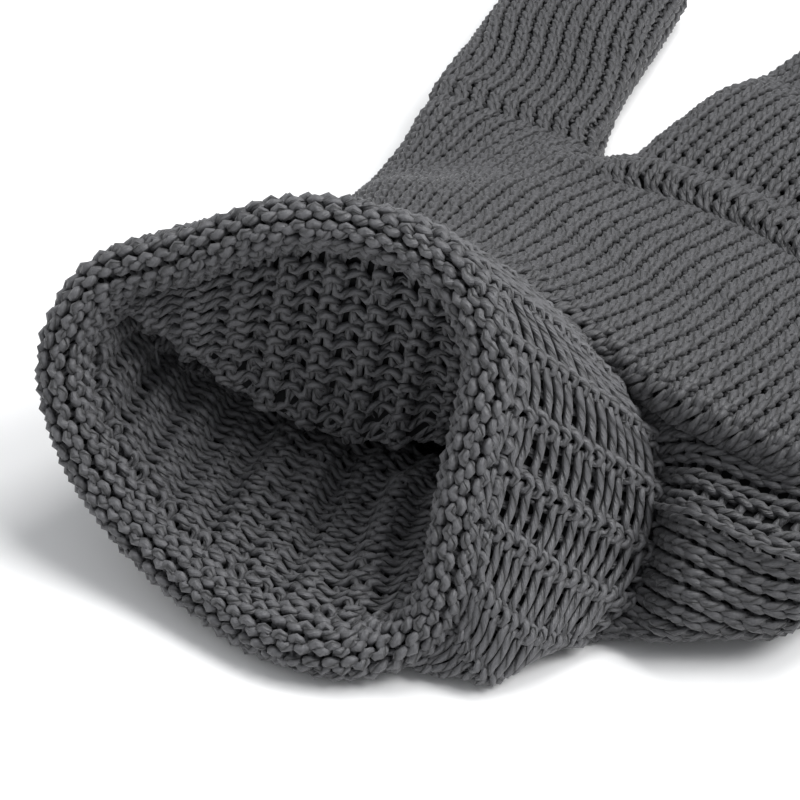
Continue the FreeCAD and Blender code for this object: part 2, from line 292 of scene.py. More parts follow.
def held_loops(sheet, v0, v1, rng=RNG, depth=-0.65, w=1.3):
    """The long held loops of the missed wales, which lie behind the floats."""
    out, nor = [], []
    t = np.linspace(0, 1, 9)
    a = t * math.pi
    for j in range(v0, v1):
        r = np.arange(sheet.N // 3)
        for k in (j % 2,):
            uc = w + 0.42 + 0.86 * k
            u = 3 * r[:, None] + uc - 0.36 * np.cos(a)[None] - 0.16 * np.sin(2 * a)[None] + rng.normal(0, 0.04, (len(r), 1))
            v = j + 0.1 + 1.9 * np.sin(a)[None] + 0 * r[:, None]
            P, Nn = sheet.frame(u, v)
            out.append(P + Nn * depth)
            nor.append(Nn)
    return np.concatenate(out), np.concatenate(nor), False


def sweep(P, N, radius, closed, sides=6, pitch=3.0, rng=RNG):
    """Round yarn along many equal lines at once. Returns vertices, faces and a uv per face corner."""
    R, n = P.shape[:2]
    if closed:
        T = np.roll(P, -1, 1) - np.roll(P, 1, 1)
        step = np.linalg.norm(np.roll(P, -1, 1) - P, axis=2)
    else:
        T = np.gradient(P, axis=1)
        step = np.linalg.norm(np.diff(P, axis=1, append=P[:, -1:]), axis=2)
    T /= np.linalg.norm(T, axis=2, keepdims=True) + 1e-9
    B = np.cross(T, N)
    B /= np.linalg.norm(B, axis=2, keepdims=True) + 1e-9
    N2 = np.cross(B, T)
    L = np.concatenate([np.zeros((R, 1)), np.cumsum(step, 1)], 1) / pitch + rng.uniform(0, 1, (R, 1))
    ph = np.arange(sides) / sides * 2 * math.pi
    rad = np.asarray(radius) * (1 + 0.035 * rng.normal(0, 1, (R, n)))
    rad = (rad + np.roll(rad, 1, 1) + np.roll(rad, -1, 1)) / 3
    V = P[:, :, None] + rad[:, :, None, None] * (np.cos(ph)[None, None, :, None] * N2[:, :, None] + np.sin(ph)[None, None, :, None] * B[:, :, None])
    idx = np.arange(R * n * sides).reshape(R, n, sides)
    if closed:
        nxt = np.roll(idx, -1, 1)
        cur, m = idx, n
    else:
        cur, nxt, m = idx[:, :-1], idx[:, 1:], n - 1
    f = np.stack([cur, np.roll(cur, -1, 2), np.roll(nxt, -1, 2), nxt], -1).reshape(-1, 4)
    La, Lb = L[:, :m], L[:, 1:m + 1]
    k = np.arange(sides) / sides
    uv = np.empty((R, m, sides, 4, 2))
    uv[..., 0, 0] = La[..., None]; uv[..., 1, 0] = La[..., None]
    uv[..., 2, 0] = Lb[..., None]; uv[..., 3, 0] = Lb[..., None]
    uv[..., 0, 1] = k; uv[..., 3, 1] = k
    uv[..., 1, 1] = k + 1 / sides; uv[..., 2, 1] = k + 1 / sides
    return V.reshape(-1, 3), f, uv.reshape(-1, 2)


def shade_sheet(sheet, u0, u1, v0, v1, depth=0.0, per=2):
    """A near-black sheet inside the knit that closes its holes: painted shade where the dark inside of the glove shows
    between the loops.
    """
    nu = int((u1 - u0) * per)
    nv = int(round((v1 - v0) * per))
    full = (u1 - u0) >= sheet.N
    u = u0 + np.arange(nu + (0 if full else 1)) / per
    v = v0 + np.arange(nv + 1) / per
    U, W = np.meshgrid(u, v)
    P, N = sheet.frame(U, W)
    P = P + N * depth
    idx = np.arange(P.shape[0] * P.shape[1]).reshape(P.shape[:2])
    if full:
        a, b = idx[:-1], np.roll(idx, -1, 1)[:-1]
        c, d = np.roll(idx, -1, 1)[1:], idx[1:]
    else:
        a, b, c, d = idx[:-1, :-1], idx[:-1, 1:], idx[1:, 1:], idx[1:, :-1]
    f = np.stack([a, b, c, d], -1).reshape(-1, 4)
    return P.reshape(-1, 3), f, np.zeros((len(f) * 4, 2))


def make(name, parts, mats):
    """One Blender piece from (vertices, faces, uv, material index) blocks."""
    vs, fs, uvs, mi, k = [], [], [], [], 0
    for (v, f, uv), m in parts:
        vs.append(v); fs.append(f + k); uvs.append(uv); mi.append(np.full(len(f), m)); k += len(v)
    v = (np.concatenate(vs) + SHIFT) / 1000.0
    f = np.concatenate(fs)
    me = bpy.data.meshes.new(name)
    me.from_pydata(v, [], f)
    layer = me.uv_layers.new(name="yarn")
    layer.uv.foreach_set("vector", np.concatenate(uvs).astype(np.float32).ravel())
    me.polygons.foreach_set("use_smooth", np.ones(len(f), bool))
    me.polygons.foreach_set("material_index", np.concatenate(mi).astype(np.int32))
    me.update()
    o = bpy.data.objects.new(name, me)
    for m in mats:
        me.materials.append(m)
    scene.collection.objects.link(o)
    print("piece %-24s faces %d" % (name, len(f)))
    return o


# ------------------------------------------------------------------ materials
def yarn_material(name, dark, light, rough=0.6, sheen=0.25, ply=2, bump=0.85):
    m = bpy.data.materials.new(name)
    m.use_nodes = True
    nt = m.node_tree
    nd, lk = nt.nodes, nt.links
    p = nd["Principled BSDF"]
    p.inputs["Roughness"].default_value = rough
    p.inputs["Specular IOR Level"].default_value = 0.5
    p.inputs["Sheen Weight"].default_value = sheen
    p.inputs["Sheen Roughness"].default_value = 0.45

    def node(kind, **kw):
        n = nd.new(kind)
        for a, b in kw.items():
            setattr(n, a, b)
        return n

    def math_node(op, a, b=None):
        n = node("ShaderNodeMath", operation=op)
        for i, s in enumerate((a, b)):
            if s is None:
                continue
            if isinstance(s, (int, float)):
                n.inputs[i].default_value = s
            else:
                lk.new(s, n.inputs[i])
        return n.outputs[0]
    uv = node("ShaderNodeUVMap", uv_map="yarn")
    sep = node("ShaderNodeSeparateXYZ")
    lk.new(uv.outputs[0], sep.inputs[0])
    # plies wind round the yarn: a groove wherever length + plies * angle passes a whole number
    w = math_node("ADD", sep.outputs[0], math_node("MULTIPLY", sep.outputs[1], float(ply)))
    groove = math_node("POWER", math_node("ABSOLUTE", math_node("SINE", math_node("MULTIPLY", w, math.pi))), 0.55)
    co = node("ShaderNodeTexCoord")
    fib = node("ShaderNodeTexNoise")
    fib.inputs["Scale"].default_value = 2600.0
    fib.inputs["Detail"].default_value = 3.0
    lk.new(co.outputs["Object"], fib.inputs["Vector"])
    # fibres lie along the plies, so their streaks follow the same twist
    along = node("ShaderNodeCombineXYZ")
    lk.new(math_node("MULTIPLY", w, 6.5), along.inputs[0])
    lk.new(math_node("MULTIPLY", sep.outputs[0], 1.7), along.inputs[1])
    streak = node("ShaderNodeTexNoise")
    streak.inputs["Scale"].default_value = 1.0
    streak.inputs["Detail"].default_value = 2.0
    lk.new(along.outputs[0], streak.inputs["Vector"])
    big = node("ShaderNodeTexNoise")
    big.inputs["Scale"].default_value = 55.0
    big.inputs["Detail"].default_value = 4.0
    lk.new(co.outputs["Object"], big.inputs["Vector"])
    fine = math_node("ADD", math_node("MULTIPLY", streak.outputs[0], 0.42), math_node("MULTIPLY", fib.outputs[0], 0.26))
    # the colour darkens in the ply grooves as painted shade; the same grooves shape the bump
    mix = math_node("ADD", math_node("MULTIPLY", groove, 0.52), math_node("ADD", fine, math_node("MULTIPLY", big.outputs[0], 0.26)))
    ramp = node("ShaderNodeValToRGB")
    ramp.color_ramp.elements[0].position = 0.48
    ramp.color_ramp.elements[0].color = (*dark, 1)
    ramp.color_ramp.elements[1].position = 1.0
    ramp.color_ramp.elements[1].color = (*light, 1)
    lk.new(mix, ramp.inputs[0])
    lk.new(ramp.outputs[0], p.inputs["Base Color"])
    height = math_node("ADD", groove, math_node("ADD", math_node("MULTIPLY", fib.outputs[0], 0.4), math_node("MULTIPLY", streak.outputs[0], 0.9)))
    bp = node("ShaderNodeBump")
    bp.inputs["Strength"].default_value = bump
    bp.inputs["Distance"].default_value = 0.00035
    lk.new(height, bp.inputs["Height"])
    lk.new(bp.outputs[0], p.inputs["Normal"])
    return m


def flat_material(name, col, rough=0.9):
    m = bpy.data.materials.new(name)
    m.use_nodes = True
    nt = m.node_tree
    p = nt.nodes["Principled BSDF"]
    p.inputs["Roughness"].default_value = rough
    p.inputs["Specular IOR Level"].default_value = 0.1
    n = nt.nodes.new("ShaderNodeTexNoise")
    n.inputs["Scale"].default_value = 900.0
    r = nt.nodes.new("ShaderNodeValToRGB")
    r.color_ramp.elements[0].color = (*[c * 0.5 for c in col], 1)
    r.color_ramp.elements[1].color = (*[c * 1.5 for c in col], 1)
    nt.links.new(n.outputs[0], r.inputs[0])
    nt.links.new(r.outputs[0], p.inputs["Base Color"])
    return m


# The cuff copy of the yarn is lighter than the hand's copy, brightening the band as painted light.
KNIT = yarn_material("knit_yarn", (0.0032, 0.0032, 0.0035), (0.0625, 0.0625, 0.067), rough=0.5, sheen=0.12)
CUFF = yarn_material("cuff_yarn", (0.0032, 0.0032, 0.0035), (0.102, 0.102, 0.1085), rough=0.5, sheen=0.12)
# near-black painted shade for the sheet behind the loops, seen through the holes of the knit
PAINTED_SHADE = flat_material("painted_shade_sheet", (0.0075, 0.0075, 0.0079))
ELAST = yarn_material("elastic_cover", (0.02, 0.02, 0.022), (0.13, 0.13, 0.14), rough=0.45, sheen=0.1, ply=3, bump=0.2)
YR = 0.67              # plain yarn radius
CR = 0.62              # cuff yarn radius


def knit_piece(name, sheet, u0, u1, v0, v1, face=1, mats=None, r=YR, bob=0.0, depth=-0.75, **kw):
    """Plain knit over part of a sheet. bob swells the yarn where it stands out on a purl face."""
    P, N, closed = plain_rows(sheet, u0, u1, v0, v1, face=face, **kw)
    a = np.arange(P.shape[1]) / kw.get("pts", 12) * 4 * math.pi
    rad = np.broadcast_to(r * (1 + bob * (0.5 + 0.5 * np.cos(a))), P.shape[:2])
    # the sheet behind the loops is painted shade
    blocks = [(sweep(P, N, rad, closed), 0), (shade_sheet(sheet, u0, u1, v0, v1, depth=depth), 1)]
    return make(name, blocks, mats or [KNIT, PAINTED_SHADE])


# ------------------------------------------------------------------ cuff geometry
def tilted(p, yaw, tilt):
    a, f = math.radians(yaw), math.radians(tilt)
    t = np.array([math.cos(a), math.sin(a), 0])
    n = np.array([math.sin(a) * math.cos(f), -math.cos(a) * math.cos(f), math.sin(f)])
    return np.array(p, float), t, np.cross(n, t), n


PE, TE, SE, NE = tilted((-19.0, -12.9, 22.8), -16.0, 20.0)


# crest of the fold, from the thumb side over the top to the little-finger side and back underneath
RIM = np.array([
    (-60.9, -67.0, 27.0), (-62.0, -65.2, 30.4), (-61.8, -62.2, 35.0), (-60.2, -59.6, 38.6), (-57.4, -56.9, 41.2),
    (-52.6, -54.2, 43.2), (-47.9, -51.6, 45.8), (-43.6, -48.6, 48.6), (-38.6, -45.5, 51.8), (-32.8, -42.5, 53.6),
    (-26.6, -40.3, 54.4), (-20.8, -38.7, 54.2), (-15.3, -37.9, 53.0), (-10.3, -38.0, 50.4), (-6.3, -39.2, 46.8),
    (-3.4, -41.0, 42.3), (-1.9, -43.8, 37.1), (-1.3, -47.0, 31.6), (-0.8, -49.9, 26.6), (0.1, -52.7, 21.6),
    (1.1, -55.6, 16.7), (1.3, -58.9, 11.8), (0.0, -63.0, 7.6), (-2.3, -67.2, 5.4), (-6.2, -70.6, 4.8), (-12.4, -72.8, 4.8),
    (-19.2, -73.4, 4.8), (-26.9, -73.1, 5.2), (-35.0, -72.5, 6.8), (-41.9, -72.1, 9.4), (-47.8, -71.5, 12.9),
    (-53.4, -70.5, 17.3), (-57.8, -69.0, 22.0)])
# free edge of the band
EDGE = np.array([
    (-56.5, -12.5, 20.0), (-55.5, -13.0, 27.0), (-52.0, -15.5, 33.0), (-47.5, -18.0, 37.5),
    (-41.5, -19.6, 40.4), (-33.5, -20.4, 42.2), (-25.8, -20.8, 42.8), (-18.5, -21.6, 42.4), (-11.5, -22.2, 41.0),
    (-5.1, -22.4, 38.8), (1.1, -22.3, 35.5), (6.5, -22.0, 31.5), (11.2, -21.4, 27.0), (14.4, -21.2, 22.5), (16.8, -22.2, 18.0),
    (18.6, -24.6, 13.4), (19.9, -28.1, 9.6), (20.1, -32.2, 6.7), (19.7, -37.4, 4.8), (18.4, -42.4, 3.5), (14.0, -46.6, 2.8),
    (5.0, -48.4, 2.6), (-8.0, -45.5, 2.6), (-24.0, -38.0, 2.6), (-40.0, -28.0, 3.2), (-49.0, -20.5, 6.5), (-54.5, -14.5, 12.5)])
# line inside the mouth where the upper wall folds over, and the lower wall beneath it
INNER = np.array([
    (-60.0, -50.5, 28.5), (-58.6, -55.4, 35.0), (-52.0, -52.0, 31.0), (-46.5, -49.4, 26.6), (-39.9, -45.8, 21.2),
    (-33.6, -42.4, 17.4), (-26.8, -38.6, 15.6), (-20.2, -34.0, 15.6), (-13.0, -29.0, 17.2), (-5.2, -26.0, 19.6),
    (1.8, -27.0, 19.6), (5.0, -30.2, 16.0), (4.0, -34.0, 11.6), (-4.0, -36.0, 8.8), (-15.5, -36.6, 8.0),
    (-27.5, -37.2, 8.4), (-38.6, -38.4, 10.0), (-48.2, -41.0, 13.2), (-55.2, -44.0, 17.4), (-59.0, -47.0, 22.5)])

rim = ring_path(RIM, N_CUFF)
edge = ring_path(EDGE, N_CUFF)
inner = ring_path(INNER, N_CUFF)
RHO = 2.7


def across(axis, ring):
    """Unit direction out of the sleeve, away from its middle."""
    t = np.roll(ring, -1, 0) - np.roll(ring, 1, 0)
    o = np.cross(t, axis)
    o /= np.linalg.norm(o, axis=1, keepdims=True)
    return o if ((ring - ring.mean(0)) * o).sum() > 0 else -o


def unit_rows(v):
    return v / np.linalg.norm(v, axis=1, keepdims=True)


axis_in = unit_rows(edge - rim)                         # towards the hand along the band
out_n = across(axis_in, rim)
edge_n = across(axis_in, edge)
EC = edge.mean(0)
side = smooth01((edge[:, 0] + 57) / 76)                 # 0 on the thumb side, 1 on the other
throat75 = EC + (edge - EC) * np.array([0.80, 0.80, 0.66]) - axis_in * (15 - 12 * side)[:, None] + np.array([0, 0, 0.5])
uu = np.arange(N_CUFF)
# along the table the inner wall runs on into the hand, and the palm's fabric starts beneath it
below = (smooth01((uu - 34) / 8) * smooth01((72 - uu) / 9))[:, None]
palm_start = throat75 - below * np.array([0, 0, 3.5])
throat75 = throat75 * (1 - below) + (inner + np.array([0, 8.5, -0.8])) * below


def roll_ring(a, rho=RHO):
    """Ring on the rounded fold: a = -90 inner side, 0 crest, 90 outer side."""
    a = math.radians(a)
    return rim + axis_in * rho * (1 - math.cos(a)) + out_n * rho * math.sin(a)


def between(a, b, f, bulge=None, h=0.0):
    r = a * (1 - f) + b * f
    return r + (bulge * h if bulge is not None else 0)


inner_start = roll_ring(-90) + axis_in * 4.2
band_start = roll_ring(90) + axis_in * 3.2
edge_out = edge + 0.0
# the band swells at its lower front corner, where it rests on the table
low = np.exp(-((uu - 46.5) / 5.0) ** 2)[:, None]
table = np.array([0.60, -0.60, -0.53])


def band_ring(f, h):
    r = between(band_start, edge_out, f) + out_n * h * (1 - 0.6 * low) + table * (6.5 * math.sin(math.pi * min(1, f + 0.04))) * low
    r[:, 2] = np.maximum(r[:, 2], 2.3)
    return r


# soft gathers in the lower inner wall
gather = (np.exp(-((uu - 58.0) / 13.0) ** 2) * np.sin(uu * 2 * math.pi / 8.3 + 0.6))[:, None]
mid_inner = between(inner_start, inner, 0.5) - out_n * 1.1 * gather
low_inner = between(inner_start, inner, 0.78) - out_n * 1.3 * gather
rings = [throat75, between(throat75, inner, 0.5), inner - out_n * 0.9 * gather, low_inner, mid_inner, inner_start]
CUFF_IN = Sheet(loft(rings, 1.95))
FOLD = Sheet(loft([inner_start, roll_ring(-90), roll_ring(-60), roll_ring(-30), roll_ring(0), roll_ring(30),
                   roll_ring(60), roll_ring(90), band_start], 2.35, per_wale=False))
BAND = Sheet(loft([band_start, band_ring(0.2, 0.6), band_ring(0.4, 1.0), band_ring(0.6, 1.0), band_ring(0.8, 0.6), edge_out], courses=14))
print("cuff courses", CUFF_IN.C, FOLD.C, BAND.C)


def rib_piece(name, sheet, r=CR, corr=0.35, depth=-1.15, held=0.95):
    P, N, closed = rib_rows(sheet, -1 if corr > 0.5 else 0, sheet.C, corr=corr)
    Q, M, _ = held_loops(sheet, 0, sheet.C - 1)
    # the sheet behind the loops is painted shade
    return make(name, [(sweep(P, N, r, True), 0), (sweep(Q, M, r * held, False, sides=5), 0),
                       (shade_sheet(sheet, 0, sheet.N, -0.9, sheet.C, depth=depth), 1)], [CUFF, PAINTED_SHADE])


cuff_inner = rib_piece("knit_cuff_inner", CUFF_IN, r=0.66, corr=0.95, depth=-0.95)
cuff_fold = knit_piece("knit_cuff_fold", FOLD, 0, N_CUFF, 0, FOLD.C, face=-1, mats=[CUFF, PAINTED_SHADE], r=0.51, bob=0.58, H=0.74, D=0.85, alpha=1.35, pts=14, pull=0.0, depth=-0.5, loose=1.6)
cuff_band = rib_piece("knit_cuff_band", BAND, corr=0.3, held=0.82)


# ------------------------------------------------------------------ lower palm
def palm_section(x0, x1, T, crease=0.0, crown=0.0, y=lambda x: 0.0, thin=0.0):
    """Ring across the palm. thin slims it towards the thumb side."""
    a = even(half_slot(x0, x1, T, top=True, crown=crown, crease=crease), N_WALES // 2, end=False)
    b = even(half_slot(x0, x1, T, top=False, crease=crease)[::-1], N_WALES // 2, end=False)
    P = np.concatenate([a, b])
    P[:, 1] *= 1 - thin * smooth01((-P[:, 0] - 38) / 38)
    return np.stack([P[:, 0], y(P[:, 0]) + 0 * P[:, 0], P[:, 1]], 1)


def spans(*parts):
    """A closed ring from stretches of line, each given with its number of wales."""
    out = []
    for k, (P, n) in enumerate(parts):
        nxt = parts[(k + 1) % len(parts)][0][0]
        line = densify(np.asarray(list(P) + [nxt], float))
        out.append(even(line, n, end=False))
    return np.concatenate(out)


# Each ring in four stretches of wales: the palm side up to the cuff's corner (24), the part that folds back under
# the lip of the palm (12), the valley above the crease (3), and the bulge of the heel below the crease (39).
def edge_part(a, b):
    """Points under the band's free edge between two of its control points."""
    e = densify(edge - edge_n * 2.7 + axis_in * 0.4, closed=True)
    ka, kb = (int(np.argmin(np.linalg.norm(e - np.asarray(p, float), axis=1))) for p in (a, b))
    return e[ka:kb][::6] if ka < kb else np.concatenate([e[ka:], e[:kb]])[::6]


E0, E1, E2, E3 = (edge[k] - edge_n[k] * 2.7 + axis_in[k] * 0.4 for k in (0, 24, 31, 34))
under = spans((edge_part(E0, E1), 24), (edge_part(E1, E2), 12), (edge_part(E2, E3), 3), (edge_part(E3, E0), 39))
before = spans((palm_start[0:24:3], 24), (palm_start[24:31:2], 12), (palm_start[31:34:2], 3), (palm_start[34:75:3], 39))
pocket = spans(
    ([(-60.0, -6.5, 16), (-59.6, -7.0, 21), (-54.0, -9.0, 27.0), (-44.0, -11.0, 31.5), (-31.0, -14.5, 34.6), (-18.0, -17.2, 35.6), (-8.0, -18.6, 35.2)], 24),
    ([(-1.0, -18.4, 33.6), (5.0, -16.6, 30.6), (12.0, -15.0, 28.0), (18.0, -15.6, 26.4)], 12),
    ([(21.5, -19.4, 25.6), (23.4, -20.6, 22.6)], 3),
    ([(26.6, -29.0, 20.2), (27.6, -32.0, 17.4), (29.0, -35.4, 12.6), (29.4, -37.0, 8.2), (27.4, -37.2, 4.6), (21.5, -36.0, 2.6),
      (8.0, -31.5, 2.2), (-10.0, -24.5, 2.2), (-30.0, -18.0, 2.2), (-46.0, -12.0, 3.2), (-55.0, -8.5, 6.2), (-59.0, -7.0, 11.0)], 39))
front = spans(
    ([(-62.0, -2.5, 15), (-61.4, -2.5, 19.5), (-55.5, -4.5, 25.5), (-45.0, -6.8, 30.3), (-30.5, -10.5, 33.4), (-16.0, -13.4, 34.6), (-6.0, -15.6, 34.6)], 24),
    ([(1.0, -18.2, 32.8), (8.0, -19.8, 30.6), (16.0, -20.0, 28.0), (25.0, -19.0, 26.4), (33.0, -17.4, 25.2)], 12),
    ([(35.0, -16.6, 24.6), (35.6, -16.6, 21.6)], 3),
    ([(37.0, -27.8, 18.9), (38.0, -29.0, 16.0), (38.6, -30.0, 11.4), (38.2, -30.4, 6.8), (34.0, -30.0, 3.8), (27.0, -28.8, 2.4),
      (9.5, -23.5, 2.2), (-12.6, -17.0, 2.2), (-35.0, -10.5, 2.2), (-50.0, -5.0, 3.1), (-58.5, -2.8, 5.8), (-61.6, -2.4, 10.0)], 39))
lip = spans(
    ([(-64.0, 2.0, 14), (-63.2, 2.0, 18), (-57.0, 0.5, 24.0), (-46.0, -2.0, 29.0), (-30.0, -5.8, 32.2), (-14.0, -9.6, 33.8), (-5.0, -12.2, 34.2)], 24),
    ([(3.0, -15.4, 33.8), (9.0, -17.6, 33.0), (17.0, -18.8, 31.6), (26.0, -17.8, 30.0), (34.5, -16.0, 28.6)], 12),
    ([(39.0, -13.6, 26.4), (40.4, -13.6, 22.6)], 3),
    ([(42.6, -24.4, 18.0), (43.2, -25.2, 15.5), (43.4, -25.6, 11.0), (42.4, -25.8, 6.8), (38.5, -25.4, 3.6), (31.0, -24.2, 2.2),
      (11.0, -18.5, 2.2), (-14.0, -12.0, 2.2), (-38.0, -5.0, 2.2), (-52.0, -0.5, 3.0), (-60.5, 1.2, 5.5), (-63.4, 2.0, 9.5)], 39))
s4 = palm_section(-70.3, 45.5, 29, crease=0.9, crown=1.0, y=lambda x: 3.6 - 0.125 * x, thin=0.25)
s5 = palm_section(-76.0, 45.0, 25.5, crease=0.45, crown=1.0, y=lambda x: 19.0 - 0.05 * x, thin=0.40)
s6 = palm_section(-79.4, 44.2, 22.0, crown=0.8, y=lambda x: 33.0 + 0 * x, thin=0.42)
s7 = palm_section(-82.8, 43.4, 19.5, y=lambda x: 45.0 + 0 * x, thin=0.34)
TH = (-87.2, -45.6, 12.8)
TOPS = N_THUMB // 2 + N_PALM // 2
crotch = ring_lobes([(*TH, N_THUMB // 2), (-43.4, 42.5, 16.5, 27)], y=58)
pinch = between(palm_section(-85.4, 42.8, 18, y=lambda x: 53 + 0 * x, thin=0.3), ring_lobes([(-86.3, -45.0, 14, N_THUMB // 2), (-43.8, 42.5, 17, 27)], y=53), 0.5)
# the hidden start of the tube is knitted loosely, and the heel closely, so that its stitches stay small
outer = np.exp(-((np.arange(N_WALES) - 42.0) / 8.0) ** 2)
dense_at = np.ones((10, N_WALES))
dense_at[0] = 0.8
dense_at[1] = 1 + 0.40 * outer
dense_at[2] = 1 + 0.45 * outer
dense_at[3] = 1 + 0.45 * outer
dense_at[4] = 1 + 0.35 * outer
LOWER = Sheet(loft([before, under, pocket, front, lip, s4, s5, s6, s7, pinch, crotch], courses=36, weight=dense_at, tension={4: 0.55, 5: 0.8}))
print("lower palm courses", LOWER.C)


def tuck(G):
    """A soft tuck across the palm below the index finger: the knit above it hangs over and its wales bend."""
    Q = G.copy()
    x, y = G[..., 0], G[..., 1]
    on = smooth01((G[..., 2] - 9.0) / 3.0) * smooth01((x + 40.0) / 9.0) * smooth01((26.0 - x) / 22.0)
    line = 46.6 - 0.011 * (x + 18.0) ** 2 * (x < 8) - 7.4 * (x >= 8)
    s = y - line
    Q[..., 2] += on * (2.5 * np.exp(-((s - 3.8) / 4.2) ** 2) - 2.2 * np.exp(-((s + 1.6) / 2.8) ** 2))
    Q[..., 2] -= on * smooth01((s - 6) / 4) * 1.2 * np.exp(-((s - 13.5) / 3.0) ** 2)
    Q[..., 0] -= on * 3.0 * np.exp(-np.clip(s, 0, None) / 10.0) * smooth01((s + 3.4) / 5.0)
    Q[..., 0] += on * 0.9 * np.exp(np.clip(s, None, 0) / 8.0) * (1 - smooth01((s + 3.4) / 5.0))
    Q[..., 1] -= on * 1.6 * np.exp(-((s - 1.4) / 3.2) ** 2)
    return Q


LOWER = Sheet(tuck(LOWER.G))
lower_top = knit_piece("knit_lower_palm_front", LOWER, 0, TOPS, 0, LOWER.C)
lower_bot = knit_piece("knit_lower_palm_back", LOWER, TOPS, N_WALES, 0, LOWER.C)
# the taut stitch line along the crease of the heel, which sinks into the knit where the crease ends
cv = np.linspace(2.6, 15.2, 100)
sink = smooth01((cv - 12.2) / 2.4)
CP, CN = LOWER.frame(N_WALES / 2 + 0.02 + 0.02 * np.sin(cv * 2 * math.pi), cv)
rise = (2.0 + 0.06 * np.cos(cv * 2 * math.pi)) * (1 - sink) - 0.6 * sink
crease = make("knit_crease_line", [(sweep((CP + CN * rise[:, None])[None], CN[None], (0.5 - 0.2 * sink)[None], False, sides=8), 0)], [KNIT])

# ------------------------------------------------------------------ upper palm
FX = [-44.0 + 21.5 * k for k in range(5)]
FN = (7, 7, 7, 6)
lobes4 = [(FX[k] + 0.35, FX[k + 1] - 0.35, 12.6, FN[k]) for k in range(4)]
palm0 = ring_lobes([(-43.4, 42.5, 16.5, 27)], y=58)
palm1 = ring_lobes([(-43.9, 42.2, 17.0, 27)], y=72)
palm2 = ring_lobes([(-44.0, 42.2, 16.6, 27)], y=88)
palm3 = ring_lobes(lobes4, y=100)
base = Sheet(loft([palm0, palm1, palm2, palm3], COURSE, per_wale=False))


UPPER = Sheet(tuck(base.G))
upper = knit_piece("knit_upper_palm", UPPER, 0, 54, 0, UPPER.C)


# ------------------------------------------------------------------ fingers
def tube_tip(ring_at, start, end, T0, w0, R=9.0):
    """Rings of a finger from start to its rounded, flattened tip."""
    ys = list(np.linspace(start, end - R, 6)) + [end - R + R * math.sin(a) for a in np.radians([25, 48, 66, 80])]
    out = []
    for y in ys:
        s = max(0.0, (y - (end - R)) / R)
        k = math.sqrt(max(0.0, 1 - s * s))
        out.append(ring_at(y, w0 * (0.30 + 0.70 * k) if s > 0 else w0, max(3.4, T0 * (0.25 + 0.75 * k)) if s > 0 else T0))
    return out


pieces_made = []
JT = {j["name"]: j for j in frame["joints"]}
for k, f in enumerate(("index", "middle", "ring", "little")):
    h1, h2, h3 = (JT["%s_%s_bend" % (f, e)]["pos_m"][1] * 1000 - SHIFT[1] for e in ("base", "middle", "end"))
    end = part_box(f + "_tip")[1][1] * 1000 - SHIFT[1]
    xc = (FX[k] + FX[k + 1]) / 2

    def ring_at(y, w, T, n=FN[k], xc=xc):
        P = ring_lobes([(xc - w / 2, xc + w / 2, T, n)], y=y)
        P[:, 2] += 6.0 - T / 2
        return P
    start = ring_lobes([(FX[k] + 0.35, FX[k + 1] - 0.35, 12.6, FN[k])], y=100)
    G = Sheet(loft([start] + tube_tip(ring_at, 104, end, 12.0, 20.3), COURSE))
    b1, b2 = (h1 + h2) / 2, (h2 + h3) / 2
    ymean = G.G[:, :, 1].mean(1)
    c1, c2 = int(round(np.interp(b1, ymean, np.arange(G.C + 1)))), int(round(np.interp(b2, ymean, np.arange(G.C + 1))))
    n = 2 * FN[k]
    a = knit_piece("knit_%s_root" % f, G, 0, n, 0, c1)
    b = knit_piece("knit_%s_middle" % f, G, 0, n, c1, c2)
    c = knit_piece("knit_%s_end" % f, G, 0, n, c2, G.C)
    pieces_made.append((f, a, b, c, h1, h2, h3, ymean[c1], ymean[c2], xc, end))

# ------------------------------------------------------------------ thumb
ty = math.radians(17.0)
TD, TP = np.array([-math.sin(ty), math.cos(ty), 0]), np.array([math.cos(ty), math.sin(ty), 0])
T_L, T_R, T_H, T_H1, T_H2 = -68.2, -33.0, 12.5, 82.0, 117.0


def thumb_ring(dl, dr, p0=T_L, p1=T_R, T=T_H, roll=0.0):
    """Ring across the thumb, dl and dr being its stations on the left and right."""
    P = ring_lobes([(p0, p1, T, N_THUMB // 2)], y=0)
    P[:, 2] += T_H / 2 - T / 2
    d = dl + (dr - dl) * (P[:, 0] - p0) / (p1 - p0)
    Q = P[:, :1] * TP + d[:, None] * TD + P[:, 2:3] * np.array([0, 0, 1.0])
    if roll:
        m = np.arange(len(Q)) + roll
        i = np.floor(m).astype(int)
        fr = (m - i)[:, None]
        Q = Q[i % len(Q)] * (1 - fr) + Q[(i + 1) % len(Q)] * fr
    return Q


h = N_THUMB // 2
th_start = np.concatenate([crotch[0:h], crotch[N_WALES - h:N_WALES]])
t_rings = [th_start, thumb_ring(86.5, 75.5, p1=-29.8, T=13.6, roll=0.35), thumb_ring(90.5, 82.5, p1=-31.4, T=13.0, roll=0.9),
           thumb_ring(95.0, 90.0, p1=-32.4, T=12.8, roll=1.2), thumb_ring(101.0, 98.5, roll=1.1), thumb_ring(108.0, 107.5, roll=0.6),
           thumb_ring(116.0, 116.0, roll=0.15), thumb_ring(126.0, 126.0), thumb_ring(136.0, 136.0)]
pc = (T_L + T_R) / 2
for dd, kw, kt in ((142.5, 1.0, 1.0), (145.6, .95, .95), (148.4, .84, .83), (150.5, .66, .62), (151.6, .44, .38)):
    hw = (T_R - T_L) / 2 * kw
    t_rings.append(thumb_ring(dd, dd, p0=pc - hw, p1=pc + hw, T=max(3.4, T_H * kt)))
THUMB = Sheet(loft(t_rings, COURSE))
dm = (THUMB.G @ TD).mean(1)
tc = int(round(np.interp((T_H1 + T_H2) / 2 + 3, dm, np.arange(THUMB.C + 1))))
thumb_a = knit_piece("knit_thumb_base", THUMB, 0, N_THUMB, 0, tc)
thumb_b = knit_piece("knit_thumb_end", THUMB, 0, N_THUMB, tc, THUMB.C)


